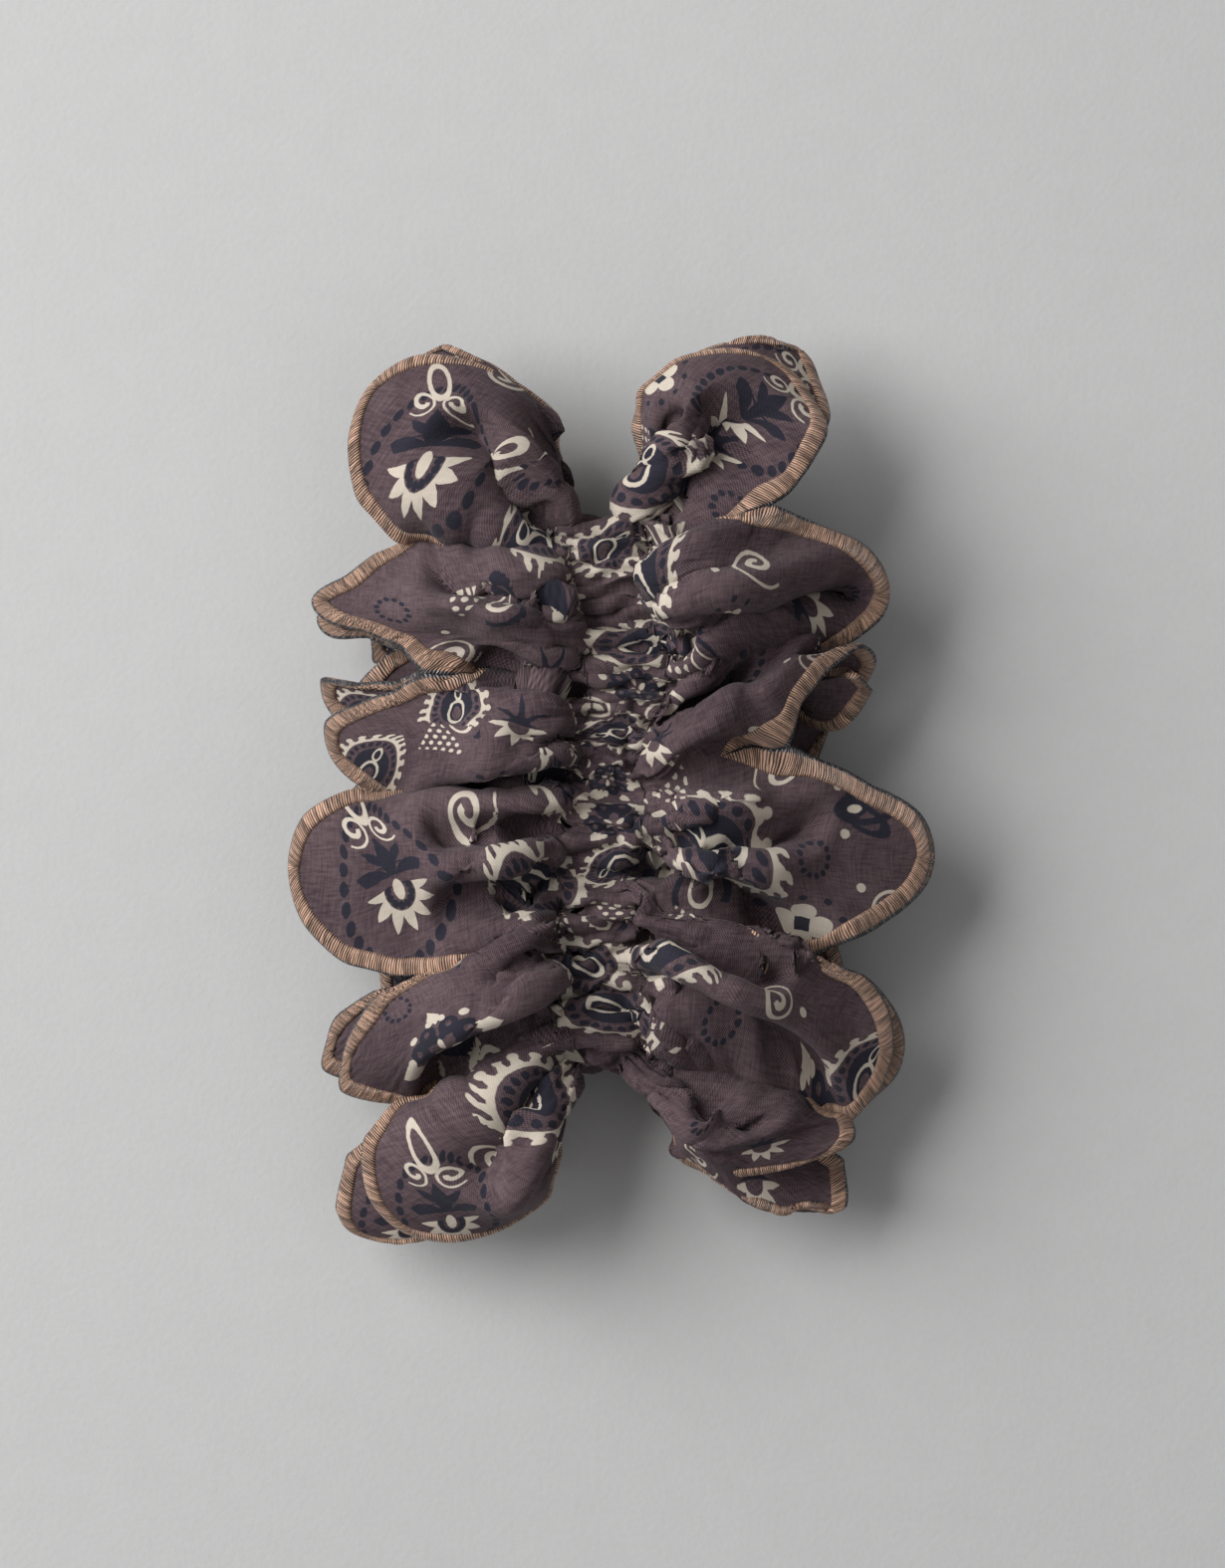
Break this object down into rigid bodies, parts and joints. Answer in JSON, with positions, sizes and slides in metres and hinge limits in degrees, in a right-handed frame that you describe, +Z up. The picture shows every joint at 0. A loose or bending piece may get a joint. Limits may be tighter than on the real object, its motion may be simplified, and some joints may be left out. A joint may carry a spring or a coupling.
{
  "type": "scrunchie",
  "caption": "Ruffled scrunchie: two scallop-edged paisley cotton strips back to back, each edge bound in copper satin stitch, gathered on an elastic loop that stretches.",
  "frame": {"origin": "middle of the footprint on the table, at the height of the lowest cloth", "axes": "+Y along the flattened loop, the way it stretches; +Z up off the table; +X across the ruffle, to the right in plan"},
  "size_m": [0.106, 0.1534, 0.0371],
  "materials": {
    "printed_cotton": "matte",
    "satin_thread": "satin",
    "white_elastic": "matte",
    "sewing_thread": "matte"
  },
  "bodies": {
    "near_half": {"elastic_near": "white_elastic", "outer_strip_near": "printed_cotton", "outer_edging_left_near": "satin_thread", "outer_edging_right_near": "satin_thread", "inner_strip_near": "printed_cotton", "inner_edging_left_near": "satin_thread", "inner_edging_right_near": "satin_thread", "casing_stitches_left_near": "sewing_thread", "casing_stitches_right_near": "sewing_thread", "outer_closing_seam": "sewing_thread", "inner_closing_seam": "sewing_thread", "elastic_tack": "sewing_thread"},
    "far_half": {"elastic_far": "white_elastic", "outer_strip_far": "printed_cotton", "outer_edging_left_far": "satin_thread", "outer_edging_right_far": "satin_thread", "inner_strip_far": "printed_cotton", "inner_edging_left_far": "satin_thread", "inner_edging_right_far": "satin_thread", "casing_stitches_left_far": "sewing_thread", "casing_stitches_right_far": "sewing_thread"}
  },
  "joints": [
    {"name": "stretch", "type": "slide", "parent": "near_half", "child": "far_half", "axis": [0, 1, 0], "range_m": [0, 0.06], "stiffness_N_per_m": 70}
  ]
}
